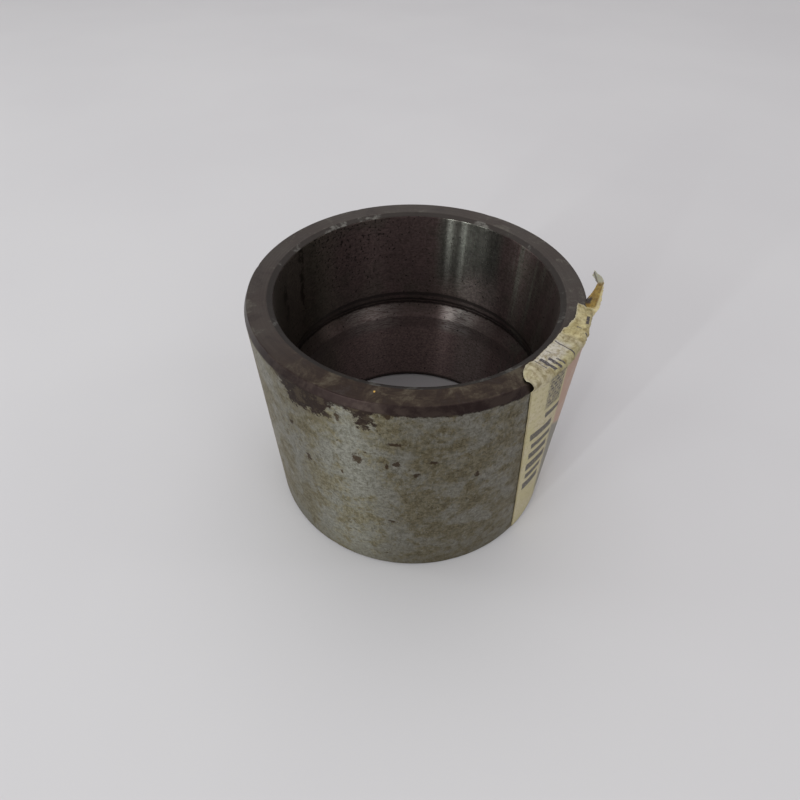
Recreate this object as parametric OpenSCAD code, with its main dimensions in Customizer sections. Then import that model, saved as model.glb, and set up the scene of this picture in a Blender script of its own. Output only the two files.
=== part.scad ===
// Plain steel bush, standing on end, with the torn remains of its paper parts label.
// Origin: centre of the base face. +Z: up the bore. Millimetres.

/* [Sleeve] */
// Outside diameter of the sleeve
outside_d = 90; // [86:1:110]
// Bore diameter of both lands
bore_d = 75; // [60:1:78]
// Length of the sleeve from face to face
length = 70; // [60:1:120]
// Radial size of the lead-in chamfer round the top outer edge
lead_in_radial = 0.9; // [0.3:0.1:2]
// Height of the lead-in chamfer, which is steep so that the sleeve starts straight in its housing
lead_in_height = 2.1; // [0.5:0.1:4]
// Radial size of the chamfer round the mouth of the bore
mouth_radial = 1.5; // [0.3:0.1:2.5]
// Depth of the chamfer round the mouth of the bore
mouth_depth = 0.7; // [0.3:0.1:2]
// Size of the small 45 degree chamfers round both bottom edges
base_chamfer = 0.7; // [0.2:0.1:1.5]

/* [Grease groove] */
// Height of the middle of the groove above the base
groove_z = 35.5; // [25:0.5:45]
// Width of the groove where it opens into the bore
groove_w = 10.8; // [6:0.2:16]
// Width of the groove's flat root
root_w = 1.2; // [0.6:0.2:4]
// Depth of the groove below the bore
groove_depth = 2.2; // [1:0.1:3]

/* [Label] */
// Thickness of the paper
paper = 0.15; // [0.1:0.01:0.2]
// Gap between the label's lower edge and the base
label_base = 0.9; // [0.7:0.1:5]
// Thickness of the torn flap, which is paper with lumps of old adhesive on it
flap_t = 0.35; // [0.2:0.05:0.6]

/* [Hidden] */
$fn = 96;
wall_r = outside_d / 2;
bore_r = bore_d / 2;
root_r = bore_r + groove_depth;
lead_in_z = length - lead_in_height;
// The label is stuck on askew, so its two long edges lean the same way round the wall.
// Angles are degrees round the axis from +X towards +Y.
label_left_top = 304.5;
label_left_base = 316.6;
label_right_top = 350;
label_right_base = 362;
label_mid = (label_left_top + label_right_base) / 2;
clear = 20;
// Where the part folded over the rim is torn: [angle, distance in from the wall], left corner to right.
torn_edge = [
    [303.5, -15], [304.6, 0.6], [305.3, 2.7], [306.7, 4.3], [309, 5.2], [313, 5.6],
    [320, 5.8], [328, 5.6], [335, 5.3], [336, 4.6], [339, 4.3], [342, 3.6],
    [346, 3.5], [349.5, 3.3], [348.8, 1.8], [347.6, 0.8], [347.4, -15]
];
// How far in from the wall the sheet has curved by the time it lies flat on the top face
fold = 0.3;
// The flap stands on the rim at this angle, and is turned this far from the wall's tangent.
flap_angle = 348;
flap_turn = 70;
flap_foot_r = wall_r - 0.1;
flap_foot_z = length - 1.5;
// The flap seen square on, from its foot up: across it, and up it.
// Its lowest corner stands on the upper edge of the label's wall part.
flap_outline = [
    [0.2, -0.58], [0.4, 1.7], [-0.9, 2.3], [-2.0, 4.6], [-1.7, 5.6], [-0.7, 7.5],
    [-0.6, 9.5], [-1.9, 11.1], [-2.7, 12.3], [-2.2, 12.9], [-1.2, 12.4], [0.3, 10.9],
    [1.1, 9.4], [1.5, 7.4], [1.5, 5.1], [2.0, 3.0], [1.7, 1.4], [1.2, -0.4]
];

function polar(points) = [for (p = points) (wall_r - p[1]) * [cos(p[0]), sin(p[0])]];

// How far a point of the wall at this angle lies to the right of the label's middle, seen square on.
function across(angle) = wall_r * sin(angle - label_mid);

module sleeve() {
    color("dimgray")
    rotate_extrude()
    polygon([
        [bore_r, base_chamfer],
        [bore_r + base_chamfer, 0],
        [wall_r - base_chamfer, 0],
        [wall_r, base_chamfer],
        [wall_r, lead_in_z],
        [wall_r - lead_in_radial, length],
        [bore_r + mouth_radial, length],
        [bore_r, length - mouth_depth],
        [bore_r, groove_z + groove_w / 2],
        [root_r, groove_z + root_w / 2],
        [root_r, groove_z - root_w / 2],
        [bore_r, groove_z - groove_w / 2]
    ]);
}

// The sheet in section: up the wall, across the lead-in chamfer and flat on the top face.
module label_section() {
    polygon([
        [wall_r, label_base],
        [wall_r + paper, label_base],
        [wall_r + paper, lead_in_z],
        [wall_r - fold, length + paper],
        [bore_r, length + paper],
        [bore_r, length],
        [wall_r - lead_in_radial, length],
        [wall_r, lead_in_z]
    ]);
}

// What is left of the sheet, seen square on from outside.
module label_outline() {
    rise = length + clear;
    lean_left = (across(label_left_top) - across(label_left_base)) / length;
    lean_right = (across(label_right_top) - across(label_right_base)) / length;
    polygon([
        [across(label_left_base), 0],
        [across(label_right_base), 0],
        [across(label_right_base) + lean_right * rise, rise],
        [across(label_left_base) + lean_left * rise, rise]
    ]);
}

// Everything above the lead-in that has been torn away from the fold.
module torn_away() {
    translate([0, 0, lead_in_z])
    linear_extrude(height = clear)
    polygon(concat(polar(torn_edge), polar([[15, -15], [15, 25], [290, 25], [290, -15]])));
}

module label() {
    color("wheat")
    difference() {
        intersection() {
            rotate_extrude() label_section();
            rotate([0, 0, label_mid]) rotate([90, 0, 90])
            linear_extrude(height = wall_r + clear) label_outline();
        }
        torn_away();
    }
}

module torn_flap() {
    color("tan")
    rotate([0, 0, flap_angle])
    translate([flap_foot_r, 0, flap_foot_z])
    rotate([0, 0, 90 - flap_turn])
    rotate([90, 0, 0])
    linear_extrude(height = flap_t, center = true)
    polygon(flap_outline);
}

sleeve();
label();
torn_flap();
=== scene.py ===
"""A plain steel bush standing on end on a pale floor, with the torn remains of a paper label."""

import math

import bpy
import numpy as np
from mathutils import Matrix, Vector, noise


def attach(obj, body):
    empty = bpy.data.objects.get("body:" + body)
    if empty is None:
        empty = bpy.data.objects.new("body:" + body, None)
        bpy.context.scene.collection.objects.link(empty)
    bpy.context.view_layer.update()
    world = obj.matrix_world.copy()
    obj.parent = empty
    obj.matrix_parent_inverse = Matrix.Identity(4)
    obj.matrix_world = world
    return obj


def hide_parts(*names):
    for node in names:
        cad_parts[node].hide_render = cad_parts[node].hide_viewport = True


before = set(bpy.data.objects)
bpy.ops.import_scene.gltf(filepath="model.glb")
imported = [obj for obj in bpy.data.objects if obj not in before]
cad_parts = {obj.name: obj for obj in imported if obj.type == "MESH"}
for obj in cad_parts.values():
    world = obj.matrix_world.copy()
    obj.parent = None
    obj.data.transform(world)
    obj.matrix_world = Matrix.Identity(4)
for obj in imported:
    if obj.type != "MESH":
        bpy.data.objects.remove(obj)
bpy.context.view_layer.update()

MM = 0.001


# ---------------------------------------------------------------- sizes read from the frame

def node_points(name):
    """A CAD node's vertices, in millimetres."""
    return np.array([v.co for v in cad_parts[name].data.vertices], float) / MM


def section_corners():
    """The sleeve's section as (radius, height) corners: up the outside, then down the bore."""
    points = node_points("sleeve")
    radii = np.round(np.hypot(points[:, 0], points[:, 1]), 2)
    corners = sorted(set(zip(radii.tolist(), np.round(points[:, 2], 2).tolist())))
    middle = (radii.min() + radii.max()) / 2
    outside = sorted((c for c in corners if c[0] > middle), key=lambda c: c[1])
    inside = sorted((c for c in corners if c[0] < middle), key=lambda c: -c[1])
    return outside, inside


OUTSIDE, INSIDE = section_corners()
WALL_R = max(c[0] for c in OUTSIDE)
BORE_R = min(c[0] for c in INSIDE)
ROOT_R = sorted(c[0] for c in INSIDE if 10 < c[1] < 60)[-1]
LENGTH = OUTSIDE[-1][1]
LEAD_IN_Z = OUTSIDE[-2][1]
RIM_R = OUTSIDE[-1][0]
MOUTH_R = INSIDE[0][0]
MOUTH_Z = INSIDE[1][1]
GROOVE_TOP = INSIDE[2][1]
GROOVE_BASE = INSIDE[5][1]
GROOVE_Z = (GROOVE_TOP + GROOVE_BASE) / 2


def smooth_step(value, low, high):
    """0 below low, 1 above high, and an even curve between them."""
    share = np.clip((value - low) / (high - low), 0, 1)
    return share * share * (3 - 2 * share)


def ripple(x, y, z=0.0):
    """Smooth noise from -1 to 1, the same each run."""
    return noise.noise(Vector((x, y, z)))


def make_object(name, points, faces, smooth=True):
    """A mesh object from points in millimetres."""
    mesh = bpy.data.meshes.new(name)
    mesh.from_pydata([tuple(p) for p in np.asarray(points, float) * MM], [], faces)
    mesh.update()
    for polygon in mesh.polygons:
        polygon.use_smooth = smooth
    made = bpy.data.objects.new(name, mesh)
    bpy.context.scene.collection.objects.link(made)
    return made


# ---------------------------------------------------------------- nodes

def add(tree, kind, inputs=None, **settings):
    """A shader node. Inputs are sockets to link or values to set."""
    made = tree.nodes.new("ShaderNode" + kind)
    for name, value in settings.items():
        setattr(made, name, value)
    for name, value in (inputs or {}).items():
        if isinstance(value, bpy.types.NodeSocket):
            tree.links.new(value, made.inputs[name])
        else:
            made.inputs[name].default_value = value
    return made


def calc(tree, operation, *values):
    """One sum on sockets or numbers."""
    made = add(tree, "Math", dict(enumerate(values)), operation=operation)
    return made.outputs[0]


def between(tree, value, low, high):
    """0 below low, 1 above high, smooth between them. It falls where low is the larger."""
    made = add(tree, "MapRange", {"Value": value}, interpolation_type="SMOOTHSTEP")
    flip = low > high
    made.inputs["From Min"].default_value = min(low, high)
    made.inputs["From Max"].default_value = max(low, high)
    made.inputs["To Min"].default_value = 1.0 if flip else 0.0
    made.inputs["To Max"].default_value = 0.0 if flip else 1.0
    return made.outputs[0]


def span(tree, value, start, full, fade, end):
    """0 at start, 1 from full to fade, and 0 again at end."""
    return both(tree, between(tree, value, start, full), between(tree, value, end, fade))


def both(tree, *masks):
    """Where every mask is on."""
    made = masks[0]
    for mask in masks[1:]:
        made = calc(tree, "MULTIPLY", made, mask)
    return made


def either(tree, *masks):
    """Where any mask is on."""
    made = masks[0]
    for mask in masks[1:]:
        made = calc(tree, "MAXIMUM", made, mask)
    return made


def mix(tree, factor, first, second, blend="MIX"):
    """first where factor is 0, second where it is 1. Both are colours or colour sockets."""
    made = add(tree, "Mix", data_type="RGBA", blend_type=blend)
    for index, value in ((0, factor), (6, first), (7, second)):
        if isinstance(value, bpy.types.NodeSocket):
            tree.links.new(value, made.inputs[index])
        elif index == 0:
            made.inputs[index].default_value = value
        else:
            made.inputs[index].default_value = (*value, 1)
    return made.outputs[2]


def paint(tree, colour, mask, strength, over):
    """The colour with another laid over it where the mask is on, at this strength."""
    return mix(tree, calc(tree, "MULTIPLY", mask, strength), colour, over)


def tinted(tree, colour, tint):
    """The colour multiplied by a tint."""
    return mix(tree, 1.0, colour, tint, "MULTIPLY")


def cloud(tree, vector, scale, detail=3.0, rough=0.55, warp=0.0):
    """Noise from 0 to 1 at a vector, with 0.5 as its middle."""
    inputs = {"Vector": vector, "Scale": scale, "Detail": detail, "Roughness": rough, "Distortion": warp}
    return add(tree, "TexNoise", inputs).outputs["Fac"]


def stretched(tree, vector, x, y, z):
    """The vector with each axis scaled."""
    return add(tree, "VectorMath", {0: vector, 1: (x, y, z)}, operation="MULTIPLY").outputs[0]


def centred(tree, noise_value, size):
    """Noise from 0 to 1 as a push of up to half this size either way."""
    return calc(tree, "MULTIPLY", calc(tree, "SUBTRACT", noise_value, 0.5), float(size))


def pushed(tree, value, noise_value, size):
    """The value, moved by noise by up to half this size either way."""
    return calc(tree, "ADD", value, centred(tree, noise_value, size))


def curve_of(tree, value, points):
    """A smooth curve through a list of (value, result) points."""
    low, high = points[0][0], points[-1][0]
    top = max(p[1] for p in points)
    share = calc(tree, "DIVIDE", calc(tree, "SUBTRACT", value, float(low)), float(high - low))
    made = add(tree, "FloatCurve", {"Value": share})
    line = made.mapping.curves[0]
    line.points[0].location = (0, points[0][1] / top)
    line.points[-1].location = (1, points[-1][1] / top)
    for x, y in points[1:-1]:
        line.points.new((x - low) / (high - low), y / top)
    made.mapping.update()
    return calc(tree, "MULTIPLY", made.outputs[0], float(top))


def new_material(name):
    """A material with an empty tree, its Principled shader and its output."""
    made = bpy.data.materials.new(name)
    made.use_nodes = True
    made.node_tree.nodes.clear()
    shader = add(made.node_tree, "BsdfPrincipled")
    output = add(made.node_tree, "OutputMaterial")
    made.node_tree.links.new(shader.outputs[0], output.inputs[0])
    return made, made.node_tree, shader


def link(tree, socket, shader, name):
    """Feed a socket to one of the shader's inputs."""
    tree.links.new(socket, shader.inputs[name])


def sleeve_coordinates(tree):
    """Position in mm, radius, angle in degrees from 0 to 360, and height in mm."""
    place = add(tree, "TexCoord").outputs["Object"]
    position = add(tree, "VectorMath", {0: place, "Scale": 1 / MM}, operation="SCALE").outputs[0]
    parts = add(tree, "SeparateXYZ", {0: position})
    x, y, z = parts.outputs
    squares = calc(tree, "ADD", calc(tree, "MULTIPLY", x, x), calc(tree, "MULTIPLY", y, y))
    radius = calc(tree, "SQRT", squares)
    # ARCTAN2 of -y and -x is the angle less 180 degrees, so the jump is at +X and not at -X
    turn = calc(tree, "ARCTAN2", calc(tree, "MULTIPLY", y, -1.0), calc(tree, "MULTIPLY", x, -1.0))
    angle = calc(tree, "ADD", calc(tree, "MULTIPLY", turn, math.degrees(1)), 180.0)
    return position, radius, angle, z


def turned_finish(tree, shader, amount):
    """Lathe and grinding marks run round the axis, so a highlight spreads along it."""
    shader.inputs["Anisotropic"].default_value = amount
    shader.inputs["Anisotropic Rotation"].default_value = 0.25
    tangent = add(tree, "Tangent", direction_type="RADIAL", axis="Z")
    link(tree, tangent.outputs[0], shader, "Tangent")


def add_bump(tree, shader, height, depth_mm):
    """Surface relief: a height of 1 stands this many millimetres proud."""
    bump = add(tree, "Bump", {"Height": height, "Distance": depth_mm * MM, "Strength": 1.0})
    link(tree, bump.outputs[0], shader, "Normal")


def spot(tree, angle, height, wobble, centre, size):
    """A ragged round stain on the wall: centre is (degrees, mm), size is (mm, mm)."""
    across = calc(tree, "MULTIPLY", calc(tree, "SUBTRACT", angle, centre[0]), math.radians(WALL_R))
    across = calc(tree, "DIVIDE", across, size[0] / 2)
    up = calc(tree, "DIVIDE", calc(tree, "SUBTRACT", height, centre[1]), size[1] / 2)
    squares = calc(tree, "ADD", calc(tree, "MULTIPLY", across, across), calc(tree, "MULTIPLY", up, up))
    return between(tree, calc(tree, "ADD", calc(tree, "SQRT", squares), wobble), 1.25, 0.75)


# ---------------------------------------------------------------- steel

# Spots on the ground wall: (angle, height), (width, height), all in degrees and millimetres
WALL_SPOTS = [
    ((248.5, 63.7), (1.2, 2.3)), ((263.5, 67.2), (1.5, 1.2)), ((265.5, 57.9), (2.8, 1.3)),
    ((253.8, 50.3), (2.2, 3.6)), ((263.0, 49.3), (0.8, 1.8)), ((266.0, 50.9), (1.6, 2.0)),
    ((272.0, 46.7), (1.7, 1.3)), ((264.8, 24.8), (2.4, 1.0)), ((262.5, 6.5), (2.4, 0.7)),
    ((248.0, 43.0), (1.0, 1.2)), ((291.5, 44.0), (1.0, 2.6)), ((277.0, 51.5), (2.0, 1.2)),
    ((234.5, 41.5), (1.6, 2.4)), ((229.0, 52.0), (1.2, 2.0)), ((256.5, 53.5), (0.9, 0.7)),
]
# How far the brown stain has run down the wall from the lead-in: angle, millimetres
STAIN_RUNS = [
    (221, 0.0), (226, 1.0), (229.5, 4.0), (233, 7.2), (237, 6.2), (240.5, 6.2), (244.5, 5.6), (247, 0.7),
    (250, 0.2), (252, 2.0), (254.5, 2.4), (256.8, 6.6), (258.6, 3.6), (260.2, 0.2), (263, 0.9), (265, 0.0),
]
# How bright the painted highlight streaks up the back of the bore are: angle, share
PAINTED_STREAKS = [
    (48, 0.50), (54, 0.45), (56.5, 0.60), (60, 0.45), (63, 0.50), (65, 0.30), (67, 1.0), (69, 0.45),
    (71, 0.10), (73, 0.55), (74.5, 1.0), (76.5, 0.15), (80, 0.30), (84, 0.30),
]


def wall_material():
    """The ground outside: grey steel under patches of dried oil, with brown stain run down from the rim."""
    made, tree, shader = new_material("ground_wall")
    position, _, angle, height = sleeve_coordinates(tree)
    broad = cloud(tree, position, 0.050, 2, 0.5)
    patch = cloud(tree, position, 0.115, 4, 0.55, 0.3)
    blotch = cloud(tree, position, 0.42, 5, 0.68, 0.3)
    fine = cloud(tree, position, 1.1, 5, 0.75)
    strokes = cloud(tree, stretched(tree, position, 1, 1, 0.30), 1.7, 3, 0.6)
    to_right = span(tree, angle, 252.0, 272.0, 326.0, 356.0)

    # where the steel is clean it is bluish grey, and elsewhere the oil has dried olive
    oil = pushed(tree, patch, broad, 0.45)
    oil = pushed(tree, oil, blotch, 0.55)
    oil = pushed(tree, oil, fine, 0.40)
    # painted shade: the right side takes a little more olive here, and a darker tint below
    oil = calc(tree, "ADD", oil, calc(tree, "MULTIPLY", to_right, 0.035))
    oil = between(tree, oil, 0.40, 0.62)
    colour = mix(tree, oil, (0.226, 0.222, 0.194), (0.186, 0.169, 0.118))
    # painted shade darkens the right side of the wall
    shade = mix(tree, to_right, (0.91, 0.90, 0.88), (0.84, 0.82, 0.79))
    colour = tinted(tree, colour, shade)
    # painted shade darkens and warms the left side of the wall
    to_left = span(tree, angle, 150.0, 185.0, 208.0, 226.0)
    colour = mix(tree, to_left, colour, tinted(tree, colour, (0.90, 0.85, 0.75)))
    thick = between(tree, pushed(tree, blotch, oil, 0.18), 0.56, 0.68)
    colour = paint(tree, colour, thick, 0.55, (0.100, 0.080, 0.042))
    tint = mix(tree, between(tree, fine, 0.34, 0.66), (0.66, 0.65, 0.61), (1.32, 1.32, 1.35))
    colour = tinted(tree, colour, tint)
    marks = between(tree, strokes, 0.56, 0.68)
    colour = paint(tree, colour, marks, 0.45, (0.088, 0.074, 0.042))
    bare = between(tree, strokes, 0.40, 0.32)
    colour = paint(tree, colour, bare, 0.35, (0.290, 0.286, 0.262))

    # flecks: dark, ragged and under a millimetre, more of them where the oil is
    specks = cloud(tree, position, 1.45, 3, 0.6)
    crowd = pushed(tree, specks, blotch, 0.20)
    crowd = pushed(tree, crowd, oil, 0.03)
    fleck = between(tree, crowd, 0.625, 0.680)
    colour = paint(tree, colour, fleck, 0.75, (0.056, 0.043, 0.024))

    # ragged brown stain below the rim, deepest at the front left
    ragged = cloud(tree, position, 0.50, 7, 0.78)
    sideways = cloud(tree, stretched(tree, position, 1, 1, 1.6), 0.30, 6, 0.72)
    run = curve_of(tree, pushed(tree, angle, sideways, 15), STAIN_RUNS)
    edge = calc(tree, "SUBTRACT", LEAD_IN_Z, run)
    above = calc(tree, "SUBTRACT", pushed(tree, height, ragged, 9), edge)
    stain = between(tree, above, -0.20, 0.40)
    near_rim = between(tree, pushed(tree, height, ragged, 3.0), 67.2, 67.8)
    inside = both(tree, between(tree, run, 0.15, 0.5), stain)
    stain = either(tree, inside, near_rim)
    worn = between(tree, pushed(tree, blotch, fine, 0.6), 0.46, 0.64)
    stain_colour = paint(tree, (0.020, 0.011, 0.009), worn, 0.60, (0.078, 0.060, 0.040))
    covered = span(tree, angle, 214.0, 231.0, 326.0, 356.0)
    cover = calc(tree, "ADD", 0.20, calc(tree, "MULTIPLY", covered, 0.77))
    halo = both(tree, between(tree, above, -5.0, 0.0), between(tree, run, 0.5, 3.0))
    colour = paint(tree, colour, halo, 0.60, (0.140, 0.118, 0.070))
    colour = mix(tree, calc(tree, "MULTIPLY", stain, cover), colour, stain_colour)

    wobble = centred(tree, cloud(tree, position, 1.0, 5, 0.70), 4.5)
    spots = either(tree, *[spot(tree, angle, height, wobble, *each) for each in WALL_SPOTS])
    colour = paint(tree, colour, spots, 0.92, (0.040, 0.024, 0.013))

    # darker and more olive towards the bottom, and a painted shade along the foot where the edge turns down
    # to the floor
    low = pushed(tree, height, patch, 34)
    colour = paint(tree, colour, between(tree, low, 10.0, 2.0), 0.35, (0.13, 0.112, 0.072))
    colour = mix(tree, between(tree, height, 1.3, 0.7), colour, (0.07, 0.058, 0.042))
    link(tree, colour, shader, "Base Color")

    film = either(tree, stain, spots, calc(tree, "MULTIPLY", oil, 0.4))
    metal = calc(tree, "SUBTRACT", 0.95, calc(tree, "MULTIPLY", film, 0.06))
    link(tree, metal, shader, "Metallic")
    rough = pushed(tree, 0.43, blotch, 0.20)
    link(tree, calc(tree, "ADD", rough, calc(tree, "MULTIPLY", film, 0.12)), shader, "Roughness")
    turned_finish(tree, shader, 0.75)
    relief = calc(tree, "SUBTRACT", calc(tree, "MULTIPLY", fine, 0.8), calc(tree, "MULTIPLY", fleck, 0.5))
    add_bump(tree, shader, relief, 0.035)
    return made


def end_material():
    """The rim, the lead-in and the ends: turned, not ground, and brown with oxide."""
    made, tree, shader = new_material("oxide_rim")
    position, radius, angle, height = sleeve_coordinates(tree)
    broad = cloud(tree, position, 0.05, 4, 0.55)
    patch = cloud(tree, position, 0.16, 6, 0.68, 0.5)
    fine = cloud(tree, position, 0.9, 5, 0.70)
    rings = add(tree, "CombineXYZ", {0: radius, 1: calc(tree, "MULTIPLY", angle, 0.012), 2: height})
    turning = cloud(tree, rings.outputs[0], 2.4, 3, 0.6)
    front = span(tree, angle, 205.0, 245.0, 315.0, 345.0)
    grey = mix(tree, between(tree, broad, 0.40, 0.60), (0.066, 0.055, 0.049), (0.058, 0.045, 0.040))
    brown = mix(tree, between(tree, patch, 0.44, 0.58), (0.028, 0.018, 0.014), (0.050, 0.036, 0.026))
    colour = mix(tree, front, grey, brown)
    worn_level = pushed(tree, patch, fine, 0.35)
    worn = between(tree, worn_level, 0.53, 0.66)
    worn_colour = mix(tree, front, (0.116, 0.106, 0.090), (0.094, 0.078, 0.056))
    colour = paint(tree, colour, worn, 0.80, worn_colour)
    dark_level = pushed(tree, patch, fine, 0.30)
    colour = paint(tree, colour, between(tree, dark_level, 0.44, 0.34), 0.6, (0.040, 0.031, 0.029))
    rub = mix(tree, between(tree, turning, 0.36, 0.64), (0.92, 0.92, 0.92), (1.09, 1.09, 1.09))
    colour = tinted(tree, colour, rub)
    at_top = between(tree, height, 20.0, 30.0)
    on_lead_in = both(tree, between(tree, radius, RIM_R - 0.35, RIM_R - 0.05), at_top)
    dark = mix(tree, between(tree, patch, 0.40, 0.60), (0.022, 0.013, 0.012), (0.046, 0.032, 0.027))
    around = either(tree, front, span(tree, angle, 190.0, 225.0, 330.0, 356.0))
    colour = mix(tree, both(tree, on_lead_in, around), colour, dark)
    # the chamfer of the mouth is dark, with bright patches that are partly wear and partly painted glints
    at_mouth = both(tree, between(tree, radius, MOUTH_R + 0.15, MOUTH_R - 0.1), at_top)
    colour = paint(tree, colour, at_mouth, 0.85, (0.030, 0.025, 0.023))
    wear_glint_level = pushed(tree, cloud(tree, position, 0.12, 5, 0.7), fine, 0.3)
    wear_and_highlight = both(tree, at_mouth, between(tree, wear_glint_level, 0.56, 0.66))
    colour = paint(tree, colour, wear_and_highlight, 0.70, (0.150, 0.145, 0.132))
    # a brass-coloured speck on the rim
    gold = span(tree, angle, 258.1, 258.4, 258.6, 258.9)
    gold = both(tree, gold, span(tree, radius, 40.5, 40.7, 41.0, 41.2))
    gold = both(tree, gold, between(tree, height, 69.0, 69.5), between(tree, fine, 0.40, 0.52))
    colour = mix(tree, gold, colour, (0.62, 0.38, 0.09))
    link(tree, colour, shader, "Base Color")
    shader.inputs["Metallic"].default_value = 0.85
    rough = pushed(tree, 0.44, patch, 0.40)
    link(tree, rough, shader, "Roughness")
    turned_finish(tree, shader, 0.5)
    relief = calc(tree, "ADD", calc(tree, "MULTIPLY", turning, 0.15), calc(tree, "MULTIPLY", fine, 0.8))
    add_bump(tree, shader, relief, 0.05)
    return made


def bore_material():
    """The bore and its grease groove: dark, smooth and a little glossy, pitted near the mouth."""
    made, tree, shader = new_material("oxide_bore")
    position, radius, angle, height = sleeve_coordinates(tree)
    broad = cloud(tree, position, 0.06, 4, 0.55)
    patch = cloud(tree, position, 0.2, 5, 0.65)
    upright = cloud(tree, stretched(tree, position, 1, 1, 0.05), 0.35, 4, 0.65)
    fine = cloud(tree, position, 1.3, 4, 0.70)
    hone = cloud(tree, stretched(tree, position, 0.25, 0.25, 2.0), 1.6, 3, 0.65)
    colour = mix(tree, between(tree, broad, 0.42, 0.58), (0.122, 0.086, 0.082), (0.102, 0.080, 0.071))
    below = between(tree, height, 35.0, 30.0)
    colour = paint(tree, colour, below, 0.9, (0.195, 0.140, 0.132))
    # painted reflection streaks: lighter, more neutral steel up the back of the bore where the windows
    # reflect
    highlight_zone = span(tree, angle, 44.0, 50.0, 76.0, 82.0)
    highlight_zone = both(tree, highlight_zone, between(tree, height, 41.0, 53.0))
    streak_share = curve_of(tree, pushed(tree, angle, upright, 1.2), PAINTED_STREAKS)
    highlight_colour = mix(tree, streak_share, (0.080, 0.078, 0.068), (0.190, 0.188, 0.168))
    colour = paint(tree, colour, highlight_zone, 0.85, highlight_colour)
    greenish = both(tree, between(tree, upright, 0.46, 0.60), span(tree, angle, 2.0, 12.0, 37.0, 42.0))
    colour = paint(tree, colour, greenish, 0.8, (0.140, 0.132, 0.112))
    at_left = span(tree, angle, 128.0, 146.0, 215.0, 250.0)
    colour = paint(tree, colour, at_left, 0.70, (0.060, 0.053, 0.039))
    # painted highlight: under the streaks both lands are lighter
    under_streaks = span(tree, angle, 40.0, 50.0, 60.0, 70.0)
    lower_half = both(tree, under_streaks, between(tree, height, 57.0, 47.0))
    colour = paint(tree, colour, lower_half, 0.75, (0.270, 0.222, 0.206))
    tint = mix(tree, between(tree, fine, 0.36, 0.64), (0.74, 0.74, 0.74), (1.24, 1.24, 1.24))
    colour = tinted(tree, colour, tint)
    tint = mix(tree, between(tree, hone, 0.36, 0.64), (0.84, 0.84, 0.84), (1.14, 1.14, 1.14))
    colour = tinted(tree, colour, tint)

    # just below the groove the land is darker, with painted highlights on worn steel in two places
    band = span(tree, height, 23.5, 27.0, GROOVE_BASE - 0.4, GROOVE_BASE + 0.2)
    colour = paint(tree, colour, band, 0.45, (0.085, 0.064, 0.060))
    at_back_left = span(tree, angle, 94.0, 108.0, 122.0, 134.0)
    wear_and_highlight = span(tree, angle, 54.0, 63.0, 70.0, 79.0)
    wear_and_highlight = either(tree, wear_and_highlight, calc(tree, "MULTIPLY", at_back_left, 0.45))
    wear_and_highlight = both(tree, wear_and_highlight, band, between(tree, hone, 0.36, 0.58))
    colour = paint(tree, colour, wear_and_highlight, 0.85, (0.36, 0.33, 0.31))

    # pits, crowded at the back left near the mouth
    crowded = span(tree, angle, 78.0, 118.0, 136.0, 160.0)
    crowded = both(tree, crowded, between(tree, height, 40.0, 62.0))
    specks = cloud(tree, position, 1.25, 2, 0.55)
    level = calc(tree, "ADD", specks, calc(tree, "MULTIPLY", crowded, 0.085))
    level = pushed(tree, level, patch, 0.16)
    pit = between(tree, level, 0.665, 0.700)
    colour = paint(tree, colour, pit, 0.9, (0.016, 0.011, 0.010))

    # upright runs of dark oil at the left
    leaning = calc(tree, "ADD", angle, calc(tree, "MULTIPLY", calc(tree, "SUBTRACT", height, 60.0), 0.22))
    leaning = pushed(tree, leaning, patch, 9)
    breaks = between(tree, cloud(tree, position, 0.30, 4, 0.65), 0.42, 0.52)
    first = span(tree, leaning, 153.8, 155.0, 156.8, 158.0)
    first = both(tree, first, between(tree, height, 43.0, 48.0))
    second = span(tree, leaning, 169.5, 171.0, 173.0, 174.5)
    second = both(tree, second, span(tree, height, 51.0, 55.0, 64.0, 67.0))
    runs = both(tree, either(tree, first, second), breaks)
    colour = paint(tree, colour, runs, 0.85, (0.016, 0.011, 0.008))

    # painted shade in the lower corner of the groove and under its root
    darkening = centred(tree, cloud(tree, position, 0.5, 4, 0.65), 1.6)
    level = calc(tree, "ADD", height, darkening)
    base, middle, top = GROOVE_BASE, GROOVE_Z, GROOVE_TOP
    low_corner = span(tree, level, base - 0.4, base + 0.1, base + 0.5, base + 1.1)
    under_root = span(tree, level, middle - 2.4, middle - 1.3, middle - 0.9, middle - 0.5)
    colour = paint(tree, colour, either(tree, low_corner, under_root), 0.85, (0.018, 0.013, 0.012))
    lower_flank = span(tree, height, base + 0.8, base + 1.4, middle - 1.6, middle - 0.9)
    caked = cloud(tree, stretched(tree, position, 1, 1, 2.5), 0.16, 5, 0.7)
    caked = both(tree, lower_flank, between(tree, pushed(tree, caked, fine, 0.2), 0.40, 0.56))
    colour = paint(tree, colour, caked, 0.85, (0.036, 0.028, 0.026))
    # a painted highlight along the root of the groove
    root = between(tree, radius, ROOT_R - 0.35, ROOT_R - 0.15)
    root = both(tree, root, between(tree, height, middle - 0.9, middle - 0.5))
    colour = paint(tree, colour, root, 0.6, (0.19, 0.17, 0.16))
    # painted shade on the upper flank of the groove, which faces down
    upper_flank = span(tree, height, middle + 0.9, middle + 1.5, top - 0.2, top + 0.2)
    colour = paint(tree, colour, upper_flank, 0.8, (0.036, 0.028, 0.026))
    # a painted shade darkens the bore where it meets the floor
    colour = mix(tree, between(tree, height, 2.6, 1.2), colour, (0.05, 0.04, 0.037))
    link(tree, colour, shader, "Base Color")

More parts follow.
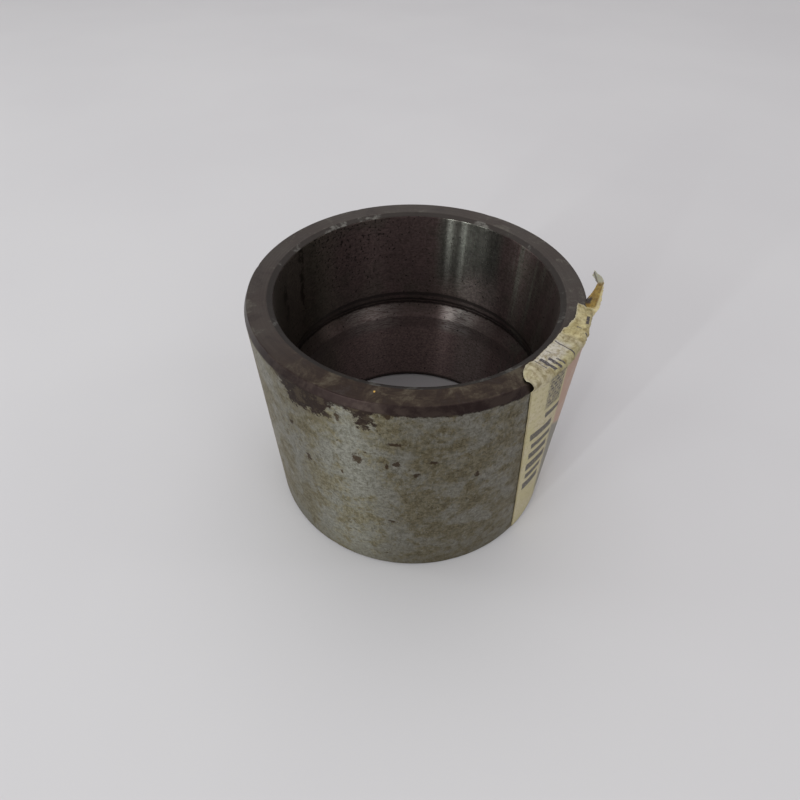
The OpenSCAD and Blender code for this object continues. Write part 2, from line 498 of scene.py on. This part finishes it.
    shader.inputs["Metallic"].default_value = 0.92
    rough = pushed(tree, 0.36, upright, 0.14)
    rough = calc(tree, "SUBTRACT", rough, calc(tree, "MULTIPLY", highlight_zone, 0.09))
    link(tree, calc(tree, "ADD", rough, calc(tree, "MULTIPLY", pit, 0.3)), shader, "Roughness")
    turned_finish(tree, shader, 1.0)
    relief = calc(tree, "SUBTRACT", calc(tree, "MULTIPLY", fine, 0.35), pit)
    add_bump(tree, shader, relief, 0.02)
    return made


# ---------------------------------------------------------------- sleeve

SEGMENTS = 360
# The size of the roundings on the outer edges and in the groove, in millimetres
EDGE_ROUND = 0.25
GROOVE_ROUND = 1.3
# The largest share of a side that one rounding takes up
ROUND_SHARE = 0.42
ARC_STEPS = 4
# The spacing of points along a side, and how close the first one is to its end
LONG_STEP = 1.6
SUPPORT = 0.06
# The materials by their place on the sleeve
WALL, ENDS, BORE = 0, 1, 2
# Small dents on the edges: angle, radius, height, size and depth, in degrees and millimetres
DENTS = [
    (209.0, 43.2, LENGTH, 0.9, 0.08), (171.5, 44.1, LENGTH, 0.8, 0.11), (233.0, 44.2, 69.6, 0.7, 0.07),
    (284.0, 44.3, 69.3, 0.9, 0.07), (116.0, 44.1, LENGTH, 0.8, 0.08), (60.0, 44.1, LENGTH, 1.0, 0.08),
    (22.0, 39.0, LENGTH, 0.9, 0.07), (108.0, 39.0, LENGTH, 1.0, 0.09), (257.0, 39.1, LENGTH, 0.8, 0.07),
    (240.0, 45.0, 0.5, 1.0, 0.09), (287.0, 45.0, 0.4, 0.9, 0.08), (90.0, 45.0, 0.5, 1.1, 0.09),
]


def rounded_section():
    """The section's points all the way round, with each corner rounded and each long side divided."""
    corners = [np.array(c) for c in OUTSIDE + INSIDE]
    count = len(corners)
    points = []
    for index, corner in enumerate(corners):
        before = corners[index - 1] - corner
        after = corners[(index + 1) % count] - corner
        in_groove = corner[0] < MOUTH_R + 1 and GROOVE_BASE - 0.1 < corner[1] < GROOVE_TOP + 0.1
        size = GROOVE_ROUND if in_groove else EDGE_ROUND
        reach = min(size, ROUND_SHARE * np.linalg.norm(before), ROUND_SHARE * np.linalg.norm(after))
        start = corner + before / np.linalg.norm(before) * reach
        end = corner + after / np.linalg.norm(after) * reach
        previous = points[-1] if points else None
        if previous is not None:
            points += divided(previous, start)
        for step in range(ARC_STEPS + 1):
            share = step / ARC_STEPS
            points.append((1 - share) ** 2 * start + 2 * share * (1 - share) * corner + share ** 2 * end)
    points += divided(points[-1], points[0])
    return np.array(points)


def divided(start, end):
    """Points strictly between two ends, close to each end and then evenly spaced."""
    length = np.linalg.norm(end - start)
    if length < 4 * SUPPORT:
        return []
    parts = max(1, round((length - 2 * SUPPORT) / LONG_STEP))
    distances = np.linspace(SUPPORT, length - SUPPORT, parts + 1)
    return [start + (end - start) * distance / length for distance in distances]


def build_sleeve():
    """The ring, turned from its section, with a few small dents in its edges."""
    section = rounded_section()
    rows = len(section)
    angles = np.radians(np.arange(SEGMENTS) * 360 / SEGMENTS)
    radius = section[:, 0][None, :]
    points = np.stack([
        np.cos(angles)[:, None] * radius,
        np.sin(angles)[:, None] * radius,
        np.broadcast_to(section[:, 1], (SEGMENTS, rows)),
    ], axis=-1).reshape(-1, 3)
    for degrees, dent_radius, dent_height, size, depth in DENTS:
        turn = math.radians(degrees)
        centre = np.array([dent_radius * math.cos(turn), dent_radius * math.sin(turn), dent_height])
        middle_r = (WALL_R + BORE_R) / 2
        inward = np.array([middle_r * math.cos(turn), middle_r * math.sin(turn), LENGTH / 2]) - centre
        inward[2] = np.clip(inward[2], -3, 3)
        inward /= np.linalg.norm(inward)
        weight = np.exp(-(((points - centre) ** 2).sum(axis=1)) / size ** 2)
        points += inward * (depth * weight)[:, None]
    faces = []
    for turn in range(SEGMENTS):
        here = turn * rows
        beyond = (turn + 1) % SEGMENTS * rows
        for row in range(rows):
            following = (row + 1) % rows
            faces.append((here + row, beyond + row, beyond + following, here + following))
    made = make_object("sleeve_turned", points, faces)
    for material in (wall_material(), end_material(), bore_material()):
        made.data.materials.append(material)
    kinds = []
    for row in range(rows):
        radial, height = (section[row] + section[(row + 1) % rows]) / 2
        if radial > WALL_R - 0.03 and OUTSIDE[1][1] < height < LEAD_IN_Z + 0.05:
            kinds.append(WALL)
        elif radial < ROOT_R + 0.1 and INSIDE[-2][1] - 0.1 < height < MOUTH_Z:
            kinds.append(BORE)
        else:
            kinds.append(ENDS)
    made.data.polygons.foreach_set("material_index", np.tile(kinds, SEGMENTS).astype(np.int32))
    made.data.update()
    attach(made, "root")
    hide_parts("sleeve")
    return made


# ---------------------------------------------------------------- label

PAPER = 0.15
# How far the sheet's back lies off the steel
GAP = 0.04
# The spacing of points across the label
CELL = 0.36
WALL_ROWS = 110
FOLD_ROWS = 34
# Millimetres of paper in one unit of its UV map
SHEET_UNIT = 100
# The length of sheet that the lead-in and the edge of the rim take up
FOLD_CORNER = 2.2
# The fold in section, from where the sheet leaves the wall: along the sheet, out from the wall and
# above the rim
FOLD = [(0.0, 0.04, LEAD_IN_Z - LENGTH), (0.7, 0.12, -1.4), (1.4, 0.16, -0.75), (1.9, 0.02, -0.25),
        (2.3, -0.25, 0.08), (2.8, -0.7, 0.20), (3.5, -1.4, 0.14), (4.5, -2.4, 0.06)]
# How far in from the wall the folded part reaches before its torn edge: angle, millimetres
TORN = [(304.8, 1.4), (305.4, 2.9), (306.6, 4.3), (309.0, 5.2), (311.5, 5.5), (313.0, 5.3), (320.0, 5.8),
        (328.0, 5.6), (334.6, 5.3), (336.0, 4.6), (339.0, 4.3), (341.5, 3.6), (346.0, 3.5), (349.5, 3.3)]
# The angle at which the fold ends at the right
FOLD_RIGHT = 348.4


def sheet_edges():
    """The label's left and right edges at its foot and at the lead-in, as angles read from its node."""
    points = node_points("label")
    angles = (np.degrees(np.arctan2(points[:, 1], points[:, 0])) - 90) % 360 + 90
    foot = points[:, 2] < points[:, 2].min() + 0.01
    top = np.abs(points[:, 2] - LEAD_IN_Z) < 0.01
    edges = [angles[foot].min(), angles[foot].max(), angles[top].min(), angles[top].max()]
    return points[:, 2].min(), edges


def degrees_of(arc):
    """An arc of the wall, in millimetres, as an angle."""
    return math.degrees(arc / WALL_R)


def grid_faces(rows, columns):
    """The faces of a grid whose points are listed row by row."""
    corners = [row * columns + column for row in range(rows - 1) for column in range(columns - 1)]
    return [(first, first + 1, first + columns + 1, first + columns) for first in corners]


def lay_out(made, places):
    """Give a paper mesh its UV map: each point's place on the flat sheet, in millimetres."""
    layer = made.data.uv_layers.new(name="Sheet")
    uv = np.array(places) / SHEET_UNIT
    corners = np.array([loop.vertex_index for loop in made.data.loops])
    layer.data.foreach_set("uv", uv[corners].astype(np.float32).ravel())


def sheet_coordinates(tree):
    """Place on the flat sheet in mm, and its two parts: across and up."""
    uv = add(tree, "UVMap", uv_map="Sheet").outputs[0]
    sheet = add(tree, "VectorMath", {0: uv, "Scale": float(SHEET_UNIT)}, operation="SCALE").outputs[0]
    parts = add(tree, "SeparateXYZ", {0: sheet})
    return sheet, parts.outputs[0], parts.outputs[1]


def fold_point(angle, along, depth):
    """A point of the part folded over the rim, before wrinkles."""
    table = np.array(FOLD)
    last = table[-1]
    if along <= last[0]:
        out = np.interp(along, table[:, 0], table[:, 1])
        up = np.interp(along, table[:, 0], table[:, 2])
    else:
        out = last[1] - (along - last[0])
        up = last[2]
    inset = -out
    crease = ripple(angle * 0.45, inset * 0.25, 3.1) * 0.30 + ripple(angle * 1.1, inset * 0.6, 8.7) * 0.20
    crease += ripple(angle * 2.3, inset * 1.4, 5.3) * 0.09
    lift = max(0.0, crease + 0.10) * smooth_step(along, 0.6, 2.4)
    # the torn left corner is puffed up and rolled over
    puff = math.exp(-((angle - 308.6) / 3.4) ** 2 - ((inset - 3.6) / 2.2) ** 2)
    roll = smooth_step(inset / max(depth, 0.1), 0.72, 1.0)
    lift += 1.0 * puff * (1 - 0.75 * roll)
    loose = ripple(angle * 0.25, 5.0, 1.0)
    lift += 0.22 * max(0.0, loose) * smooth_step(inset, 2.0, 5.0)
    bulge = 0.20 + 0.40 * ripple(angle * 0.21, 2.0, 7.0) + 0.30 * ripple(angle * 0.9, along * 0.5, 1.0)
    bulge += 0.16 * ripple(angle * 2.6, along * 1.2, 6.0)
    bulge *= math.exp(-((along - 1.3) / 1.0) ** 2)
    return WALL_R + out + max(0.0, bulge), LENGTH + up + lift


def build_label():
    """What is left of the label: a thin sheet down the wall, folded over the rim and torn off there."""
    foot_z, (foot_left, foot_right, top_left, top_right) = sheet_edges()
    columns = round(math.radians(top_right - top_left) * WALL_R / CELL) + 1
    points, sheet_uv, tear = [], [], []
    for row in range(WALL_ROWS):
        share = row / (WALL_ROWS - 1)
        z = foot_z + (LEAD_IN_Z - foot_z) * share
        left = foot_left + (top_left - foot_left) * share
        right = foot_right + (top_right - foot_right) * share
        left += degrees_of(0.10 * ripple(z * 0.35, 1.0) + 0.05 * ripple(z * 1.9, 4.0))
        right += degrees_of(0.9 * ripple(z * 0.12, 9.0) + 0.5 * ripple(z * 0.6, 2.0))
        right += degrees_of(0.2 * ripple(z * 2.2, 6.0))
        for column in range(columns):
            across = column / (columns - 1)
            angle = left + (right - left) * across
            arc = math.radians(angle - left) * WALL_R
            lift = 0.09 * max(0.0, ripple(arc * 0.22, z * 0.10, 2.0))
            lift += 0.035 * (1 + ripple(arc * 0.8, z * 0.8))
            lift *= smooth_step(z, foot_z, foot_z + 6)
            edge = min(across, 1 - across) * (columns - 1) * CELL
            lift += 0.10 * math.exp(-edge / 0.5) * max(0.0, ripple(z * 0.25, across * 3, 4.0))
            reach = WALL_R + GAP + lift
            turn = math.radians(angle)
            points.append((reach * math.cos(turn), reach * math.sin(turn), z))
            sheet_uv.append((arc, z))
            tear.append(edge + (0 if across < 0.5 else -0.2))
    faces = grid_faces(WALL_ROWS, columns)
    top_row = (WALL_ROWS - 1) * columns
    torn = np.array(TORN)
    top_angles = np.linspace(top_left, top_right, columns)
    folded = [column for column in range(columns) if top_angles[column] <= FOLD_RIGHT]
    previous = {c: top_row + c for c in folded}
    for row in range(1, FOLD_ROWS):
        share = row / (FOLD_ROWS - 1)
        current = {}
        for column in folded:
            across = column / (columns - 1)
            angle = top_angles[column]
            depth = np.interp(angle, torn[:, 0], torn[:, 1])
            ragged = smooth_step(angle, 330.0, 336.0)
            depth += (0.10 + 0.14 * ragged) * ripple(angle * 2.3, 3.0)
            depth += (0.07 + 0.1 * ragged) * ripple(angle * 6.1, 7.0)
            along = share * (depth + FOLD_CORNER - 0.1)
            # the right-hand end leans outwards as it goes in over the rim
            inset = max(0.0, along - FOLD_CORNER)
            outwards = np.interp(inset, [0, 0.8, 1.8, 3.3], [0, 0.2, 1.4, 2.1])
            angle += smooth_step(angle, 340.0, FOLD_RIGHT) * outwards
            # at the left the sheet is torn in to a neck, and its corner hangs over it
            at_left = 1 - smooth_step(angle, top_left + 0.5, top_left + 4.0)
            neck = 0.35 * math.exp(-((along - 1.7) / 0.9) ** 2)
            overhang = 0.7 * math.exp(-((along - 4.2) / 1.3) ** 2)
            angle += at_left * (neck - overhang)
            radial, z = fold_point(angle, along, depth)
            if row <= 2:
                radial = max(radial, WALL_R + GAP)
            z += GAP * smooth_step(along, 1.0, 2.5)
            turn = math.radians(angle)
            points.append((radial * math.cos(turn), radial * math.sin(turn), z))
            arc = math.radians(top_right - top_left) * across * WALL_R
            sheet_uv.append((arc, LEAD_IN_Z + along))
            to_side = min(column, folded[-1] - column) * CELL
            tear.append(min((1 - share) * (depth + FOLD_CORNER), to_side))
            current[column] = len(points) - 1
        for column in folded[:-1]:
            faces.append((previous[column], previous[column + 1], current[column + 1], current[column]))
        previous = current
    made = make_object("label_paper", points, faces)
    lay_out(made, sheet_uv)
    attribute = made.data.attributes.new("tear", "FLOAT", "POINT")
    attribute.data.foreach_set("value", np.array(tear, np.float32))
    thick = made.modifiers.new("thickness", "SOLIDIFY")
    thick.thickness = PAPER * MM
    thick.offset = 1.0
    made.data.materials.append(label_material())
    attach(made, "root")
    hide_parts("label")
    return made


def bar(tree, across, up, left, right, low, high, soft=0.12):
    """A printed rectangle on the sheet, in millimetres."""
    wide = span(tree, across, left - soft, left + soft, right - soft, right + soft)
    tall = span(tree, up, low - soft, low + soft, high - soft, high + soft)
    return both(tree, wide, tall)


# Plain dark bars printed down the label, none of them touching: left, right, low, high
BLOCKS = [
    (6.8, 13.0, 53.6, 55.6), (2.0, 10.9, 47.6, 50.4), (3.0, 11.4, 43.2, 45.4), (2.6, 10.6, 38.4, 41.2),
    (2.2, 10.8, 32.8, 36.2), (2.6, 10.0, 28.2, 30.8), (2.0, 9.6, 22.6, 26.2),
]
# Short bars and rules on the folded part: left, right, low, high
FOLD_MARKS = [
    (6.25, 6.5, 71.6, 76.0), (7.3, 8.3, 70.2, 74.6), (9.1, 10.0, 70.0, 73.4), (10.8, 11.4, 70.0, 72.2),
    (11.7, 11.9, 74.0, 75.5), (23.4, 23.9, 69.4, 70.4), (25.0, 25.3, 71.4, 72.6), (27.2, 30.6, 70.2, 70.9),
]


def label_material():
    """Old coated paper: cream, grubby, printed in dark grey and a faded red, white where it is torn."""
    made, tree, shader = new_material("printed_paper")
    sheet, raw_across, raw_up = sheet_coordinates(tree)
    shake = cloud(tree, sheet, 0.9, 3, 0.6)
    across = pushed(tree, raw_across, shake, 0.5)
    up = pushed(tree, raw_up, shake, 0.4)
    broad = cloud(tree, sheet, 0.11, 3, 0.5)
    fine = cloud(tree, sheet, 0.9, 4, 0.65)
    fibre = cloud(tree, stretched(tree, sheet, 1, 0.4, 1), 5.0, 3, 0.7)

    colour = mix(tree, between(tree, broad, 0.35, 0.65), (0.45, 0.40, 0.225), (0.50, 0.44, 0.30))
    whiter = both(tree, between(tree, raw_up, 70.5, 72.5), span(tree, raw_across, 5.0, 7.0, 16.5, 18.5))
    colour = paint(tree, colour, whiter, 0.8, (0.60, 0.56, 0.50))
    yellow = both(tree, between(tree, raw_up, 67.0, 70.0), between(tree, raw_across, 19.0, 22.0))
    colour = paint(tree, colour, yellow, 0.55, (0.60, 0.51, 0.25))
    grubby = between(tree, pushed(tree, fine, broad, 0.4), 0.50, 0.64)
    colour = paint(tree, colour, grubby, 0.55, (0.31, 0.265, 0.135))
    speck = between(tree, cloud(tree, sheet, 1.9, 3, 0.6), 0.62, 0.67)
    colour = paint(tree, colour, speck, 0.6, (0.17, 0.14, 0.08))

    # the folded part has taken most of the dirt
    on_fold = between(tree, raw_up, 67.8, 69.6)
    dirt = pushed(tree, cloud(tree, sheet, 0.5, 5, 0.7), fine, 0.25)
    dirt = mix(tree, between(tree, dirt, 0.40, 0.66), (0.83, 0.83, 0.84), (0.50, 0.46, 0.38))
    colour = mix(tree, on_fold, colour, mix(tree, 1.0, colour, dirt, "MULTIPLY"))
    # the red print ends at a slanting line, with grey under it
    slant = calc(tree, "ADD", calc(tree, "MULTIPLY", raw_across, -0.9), 57.0)
    over_slant = calc(tree, "SUBTRACT", up, slant)
    red = both(tree, between(tree, across, 12.4, 13.4), between(tree, up, 69.5, 67.5))
    red = both(tree, red, between(tree, over_slant, -1.0, 1.0))
    red_colour = mix(tree, between(tree, broad, 0.4, 0.6), (0.40, 0.245, 0.20), (0.415, 0.285, 0.24))
    colour = paint(tree, colour, red, 0.85, red_colour)
    grey = both(tree, between(tree, across, 10.8, 13.0), between(tree, over_slant, 1.0, -1.0))
    grey = both(tree, grey, between(tree, up, 7.0, 9.0))
    colour = paint(tree, colour, grey, 0.8, (0.17, 0.165, 0.165))

    blocks = either(tree, *[bar(tree, across, up, *each) for each in BLOCKS])
    rows = {"Vector": sheet, "Scale": 1.0, "Brick Width": 1.7, "Row Height": 1.25, "Mortar Size": 0.34,
            "Mortar Smooth": 0.3}
    lines = add(tree, "TexBrick", rows, offset=0.4, squash=1.0)
    in_lines = calc(tree, "SUBTRACT", 1.0, lines.outputs["Fac"])
    patch = both(tree, span(tree, across, 5.6, 6.8, 11.8, 12.4), span(tree, up, 57.0, 57.6, 68.8, 69.6))
    smudge = between(tree, cloud(tree, stretched(tree, sheet, 1, 0.6, 1), 1.3, 4, 0.7), 0.34, 0.48)
    small_print = both(tree, calc(tree, "ADD", calc(tree, "MULTIPLY", in_lines, 0.45), 0.55), patch, smudge)
    marks = either(tree, *[bar(tree, across, up, *each, soft=0.07) for each in FOLD_MARKS])
    # one long rule that leans across the folded part
    lean = calc(tree, "MULTIPLY", calc(tree, "SUBTRACT", raw_up, 69.5), 0.24)
    rule = calc(tree, "SUBTRACT", raw_across, lean)
    rule = both(tree, span(tree, rule, 15.1, 15.2, 15.5, 15.6), between(tree, raw_up, 69.0, 69.4))
    ink = either(tree, calc(tree, "MULTIPLY", blocks, 0.93), small_print, marks, rule)
    flaked = between(tree, cloud(tree, sheet, 2.0, 4, 0.75), 0.34, 0.46)
    colour = mix(tree, both(tree, ink, flaked), colour, (0.058, 0.050, 0.056))

    edge = add(tree, "Attribute", attribute_name="tear").outputs["Fac"]
    fuzzy = pushed(tree, edge, shake, 0.9)
    torn = both(tree, between(tree, fuzzy, 0.42, 0.10), between(tree, raw_up, 69.0, 71.0))
    colour = paint(tree, colour, torn, 0.7, (0.40, 0.36, 0.26))
    # darker along the edges of the part on the wall
    darkening = both(tree, between(tree, fuzzy, 0.60, 0.15), between(tree, raw_up, 69.0, 67.0))
    colour = paint(tree, colour, darkening, 0.65, (0.20, 0.155, 0.080))
    link(tree, colour, shader, "Base Color")
    rough = calc(tree, "ADD", 0.55, calc(tree, "MULTIPLY", fine, 0.2))
    link(tree, rough, shader, "Roughness")
    shader.inputs["Specular IOR Level"].default_value = 0.35
    relief = calc(tree, "ADD", calc(tree, "MULTIPLY", fibre, 0.4), calc(tree, "MULTIPLY", fine, 0.6))
    add_bump(tree, shader, relief, 0.13)
    return made


# ---------------------------------------------------------------- torn flap

# The flap's edges seen square on: height above its foot, left edge, right edge, in millimetres
FLAP_EDGES = [(-0.58, 0.1, 1.2), (0.6, -0.2, 1.5), (1.6, -0.5, 1.8), (2.4, -1.2, 1.9), (3.6, -1.9, 1.9),
              (4.7, -2.1, 1.7), (5.7, -1.7, 1.5), (7.5, -0.7, 1.5), (9.4, -0.5, 1.1), (10.9, -1.6, 0.3),
              (12.2, -2.6, -1.3), (12.9, -2.3, -2.1)]
# The lowest corner of the flap's node lies this far across from its middle line
FOOT_CORNER = 0.2
# The flap's thickness where the weight of its lumps is 1
FLAP_THICK = 0.7


def flap_frame():
    """Where the flap's foot is and which way its width runs, read from its node."""
    points = node_points("torn_flap")
    flat = points[:, :2] - points[:, :2].mean(axis=0)
    directions = np.linalg.eigh(flat.T @ flat)[1]
    across = directions[:, -1]
    outward = points[:, :2].mean(axis=0)
    if across @ outward < 0:
        across = -across
    lowest = points[points[:, 2] < points[:, 2].min() + 0.01].mean(axis=0)
    foot = lowest - np.array([*(across * FOOT_CORNER), FLAP_EDGES[0][0]])
    return foot, np.array([*across, 0.0]), np.array([-across[1], across[0], 0.0])


def build_flap():
    """A torn strip of the label standing on the rim, stiff with old adhesive."""
    foot, across, away = flap_frame()
    edges = np.array(FLAP_EDGES)
    rows, columns = 96, 30
    heights = np.linspace(edges[0, 0], edges[-1, 0], rows)
    points, strip_uv = [], []
    for height in heights:
        left = np.interp(height, edges[:, 0], edges[:, 1])
        right = np.interp(height, edges[:, 0], edges[:, 2])
        free = smooth_step(height, 0.5, 2.5)
        left += free * (0.22 * ripple(height * 1.3, 1.0) + 0.20 * ripple(height * 3.1, 2.0))
        right += free * (0.22 * ripple(height * 1.1, 6.0) + 0.20 * ripple(height * 2.7, 8.0))
        for column in range(columns):
            share = column / (columns - 1)
            place = left + (right - left) * share
            curl = 0.45 * (share - 0.5) ** 2 * 4 * free * ripple(height * 0.3, 4.0)
            sway = 0.5 * ripple(height * 0.22, 11.0) + 0.18 * ripple(height * 0.8, place * 0.7, 3.0)
            twist = (share - 0.5) * free * 0.10 * (height - 6)
            out = np.clip(curl + free * sway + twist, -0.9, 0.9)
            points.append(foot + across * place + away * out + np.array([0, 0, height]))
            strip_uv.append((place, height))
    faces = grid_faces(rows, columns)
    made = make_object("torn_flap_paper", points, faces)
    lay_out(made, strip_uv)
    lumps = made.vertex_groups.new(name="lumps")
    for index, (place, height) in enumerate(strip_uv):
        body = smooth_step(height, 1.5, 3.0) * (1 - smooth_step(height, 9.0, 11.0))
        weight = 0.30 + 0.6 * body * (0.5 + 0.5 * ripple(place * 1.1, height * 0.8, 2.0))
        lumps.add([index], float(np.clip(weight, 0, 1)), "REPLACE")
    thick = made.modifiers.new("thickness", "SOLIDIFY")
    thick.thickness = FLAP_THICK * MM
    thick.offset = 0.0
    thick.vertex_group = "lumps"
    made.data.materials.append(flap_material())
    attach(made, "root")
    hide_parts("torn_flap")
    return made


def flap_material():
    """Paper soaked with ochre adhesive, grey and bare at the tip."""
    made, tree, shader = new_material("adhesive_paper")
    sheet, across, up = sheet_coordinates(tree)
    patch = cloud(tree, sheet, 0.45, 4, 0.6, 0.4)
    fine = cloud(tree, sheet, 1.8, 4, 0.65)
    uneven = pushed(tree, up, patch, 4.0)
    colour = mix(tree, between(tree, patch, 0.38, 0.62), (0.17, 0.096, 0.013), (0.33, 0.225, 0.055))
    colour = paint(tree, colour, between(tree, fine, 0.52, 0.42), 0.6, (0.14, 0.085, 0.020))
    colour = mix(tree, between(tree, uneven, 2.8, 1.6), colour, (0.56, 0.49, 0.29))
    colour = mix(tree, between(tree, uneven, 9.0, 10.6), colour, (0.33, 0.325, 0.255))
    right_edge = between(tree, across, 0.7, 1.2)
    colour = paint(tree, colour, right_edge, 0.70, (0.60, 0.53, 0.32))
    dark = both(tree, between(tree, across, -0.5, -1.1), span(tree, up, 3.4, 4.0, 5.2, 6.2))
    colour = paint(tree, colour, dark, 0.95, (0.028, 0.023, 0.024))
    line = calc(tree, "ADD", across, calc(tree, "MULTIPLY", up, 0.55))
    line = both(tree, span(tree, line, 4.35, 4.50, 4.75, 4.95), between(tree, up, 9.6, 10.2))
    colour = paint(tree, colour, line, 0.8, (0.10, 0.09, 0.08))
    link(tree, colour, shader, "Base Color")
    rough = calc(tree, "ADD", 0.38, calc(tree, "MULTIPLY", fine, 0.3))
    link(tree, rough, shader, "Roughness")
    shader.inputs["Subsurface Weight"].default_value = 0.25
    shader.inputs["Subsurface Radius"].default_value = (0.0012, 0.0008, 0.0004)
    shader.inputs["Subsurface Scale"].default_value = 1.0
    add_bump(tree, shader, calc(tree, "ADD", patch, calc(tree, "MULTIPLY", fine, 0.5)), 0.12)
    return made


# ---------------------------------------------------------------- floor, light and camera

def build_floor():
    """A wide pale floor, in a smooth lilac grey."""
    reach = 6000
    points = [(-reach, -reach, 0), (reach, -reach, 0), (reach, reach, 0), (-reach, reach, 0)]
    made = make_object("floor", points, [(0, 1, 2, 3)], smooth=False)
    material, tree, shader = new_material("floor_board")
    place = add(tree, "TexCoord").outputs["Object"]
    broad = cloud(tree, place, 6.0, 3, 0.5)
    colour = mix(tree, between(tree, broad, 0.3, 0.7), (0.590, 0.576, 0.594), (0.610, 0.597, 0.613))
    link(tree, colour, shader, "Base Color")
    shader.inputs["Roughness"].default_value = 0.55
    shader.inputs["Specular IOR Level"].default_value = 0.25
    made.data.materials.append(material)


# How far the lights stand from the object's middle, in metres
LAMP_DISTANCE = 1.3


def soft_light(name, azimuth, elevation, size, power, colour=(1, 1, 1)):
    """A rectangular soft light that faces the object's middle. Azimuth is its bearing from the object."""
    lamp = bpy.data.lights.new(name, "AREA")
    lamp.shape = "RECTANGLE"
    lamp.size, lamp.size_y = size
    lamp.energy = power
    lamp.color = colour
    made = bpy.data.objects.new(name, lamp)
    turn, rise = math.radians(azimuth), math.radians(elevation)
    back = Vector((math.cos(turn) * math.cos(rise), math.sin(turn) * math.cos(rise), math.sin(rise)))
    made.location = Vector((0, 0, LENGTH * MM / 2)) + back * LAMP_DISTANCE
    made.rotation_euler = back.to_track_quat("Z", "Y").to_euler()
    bpy.context.scene.collection.objects.link(made)


def build_lights():
    """Soft light from above and behind, and windows at the left, the front left and the right."""
    world = bpy.data.worlds.new("room")
    world.use_nodes = True
    background = world.node_tree.nodes["Background"]
    background.inputs["Color"].default_value = (1.0, 0.99, 0.99, 1)
    background.inputs["Strength"].default_value = 0.56
    bpy.context.scene.world = world
    soft_light("overhead", 90, 68, (1.3, 1.1), 4.3)
    # tall narrow windows, low enough for the front of the rim to shade the bore below them
    soft_light("slit_front", 242, 12, (0.040, 0.24), 2.3, (0.92, 1.0, 0.97))
    soft_light("slit_front_left", 229.5, 18, (0.030, 0.46), 3.2, (0.92, 1.0, 0.97))
    soft_light("pane_front_left", 215, 20, (0.24, 0.60), 1.9, (0.95, 1.0, 0.98))
    soft_light("pane_left", 172, 22, (0.32, 0.60), 1.9, (0.93, 1.0, 0.97))
    # higher ones, which reach the groove
    soft_light("window_front_left", 238, 42, (0.20, 0.50), 1.7)
    soft_light("window_right", 314, 42, (0.34, 0.40), 0.8)
    soft_light("window_far_right", 0, 38, (0.16, 0.40), 0.5)


# The camera: where it stands in millimetres, how it is turned in degrees, and its lens in millimetres
CAMERA_PLACE = (0, -118.0, 151.0)
CAMERA_PAN = -1.944
CAMERA_TILT = 46.907
CAMERA_ROLL = 0.441
CAMERA_LENS = 23.774


def build_camera():
    """The camera stands in front of the object and looks down at it."""
    pan, tilt, roll = (math.radians(angle) for angle in (CAMERA_PAN, CAMERA_TILT, CAMERA_ROLL))
    forward = Vector((math.sin(pan) * math.cos(tilt), math.cos(pan) * math.cos(tilt), -math.sin(tilt)))
    level = Vector((math.cos(pan), -math.sin(pan), 0))
    upright = level.cross(forward)
    right = level * math.cos(roll) + upright * math.sin(roll)
    top = upright * math.cos(roll) - level * math.sin(roll)
    lens = bpy.data.cameras.new("camera")
    lens.sensor_width = 36
    lens.lens = CAMERA_LENS
    made = bpy.data.objects.new("camera", lens)
    turned = Matrix((right, top, -forward)).transposed()
    place = Vector(CAMERA_PLACE) * MM
    made.matrix_world = Matrix.Translation(place) @ turned.to_4x4()
    bpy.context.scene.collection.objects.link(made)
    bpy.context.scene.camera = made


build_sleeve()
build_label()
build_flap()
build_floor()
build_lights()
build_camera()
bpy.context.scene.view_settings.view_transform = "Standard"

bpy.context.view_layer.update()
